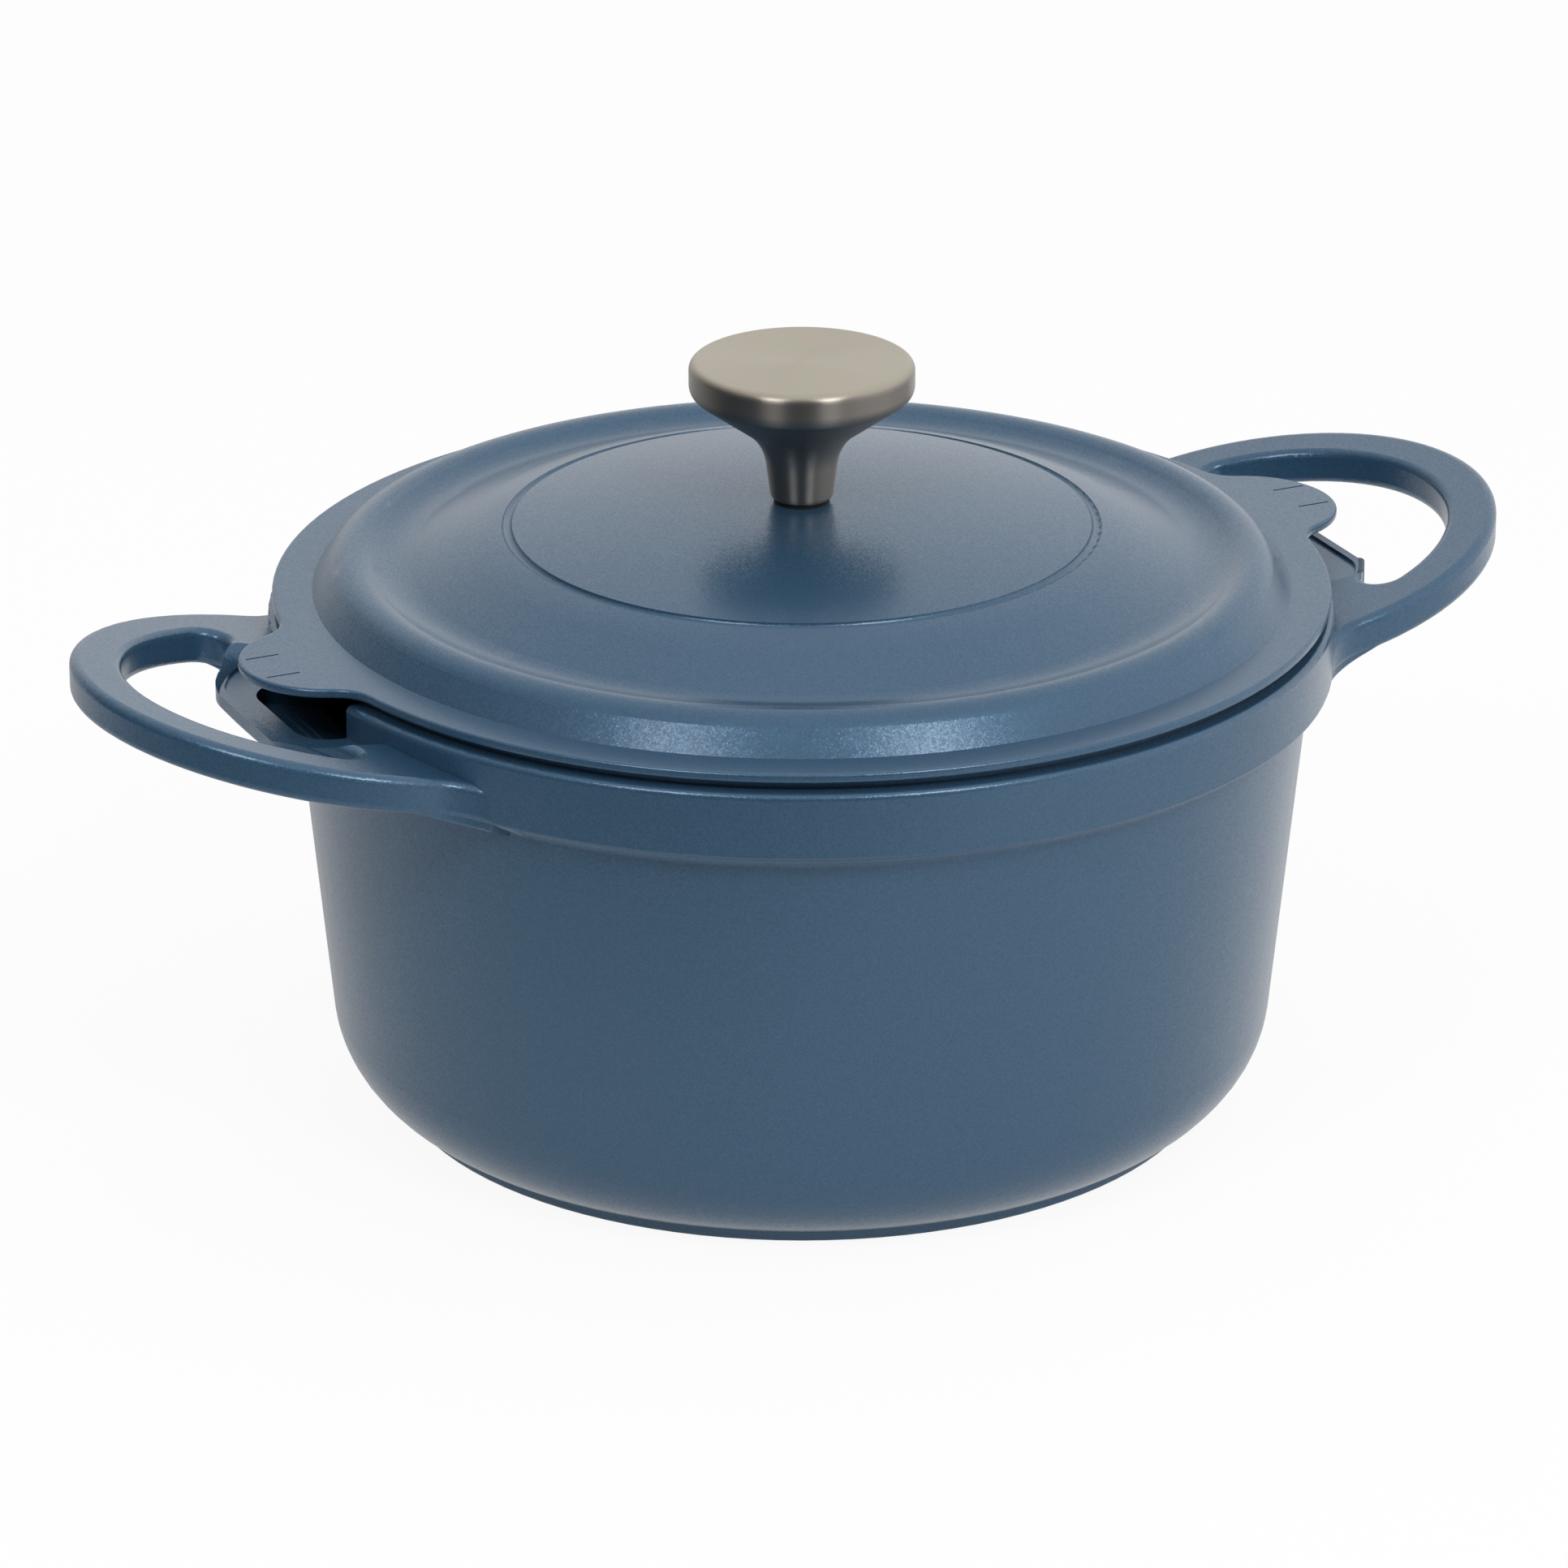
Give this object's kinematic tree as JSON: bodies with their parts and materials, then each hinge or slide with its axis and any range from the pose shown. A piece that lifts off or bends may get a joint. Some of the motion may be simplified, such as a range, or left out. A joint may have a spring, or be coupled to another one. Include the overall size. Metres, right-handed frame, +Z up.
{
  "type": "dutch oven",
  "caption": "Round cast iron dutch oven with a domed lid, mushroom knob, tilted loop handles and pouring spouts covered by tabs on the lid.",
  "frame": {"origin": "centre of the pot's base, on the surface that it stands on", "axes": "+Z up, X through both loop handles and spouts, Y across them"},
  "size_m": [0.3658, 0.256, 0.1839],
  "materials": {
    "enamel": "blue enamel with fine metallic flake, satin",
    "knob_metal": "satin nickel",
    "seal_rubber": "black silicone",
    "fastener_steel": "stainless steel"
  },
  "bodies": {
    "pot": {"pot": "enamel"},
    "knob_set": {"knob": "knob_metal", "knob_seal": "seal_rubber", "flat_washer": "fastener_steel", "lock_washer": "fastener_steel", "knob_screw": "fastener_steel"},
    "lid": {"lid": "enamel"}
  },
  "joints": [
    {"name": "lid_lift", "type": "slide", "parent": "pot", "child": "knob_set", "axis": [0, 0, 1], "range_m": [0, 0.18]},
    {"name": "lid_turn", "type": "hinge", "parent": "knob_set", "child": "lid", "pos_m": [0, 0, 0.1286], "axis": [0, 0, 1], "continuous": true}
  ]
}
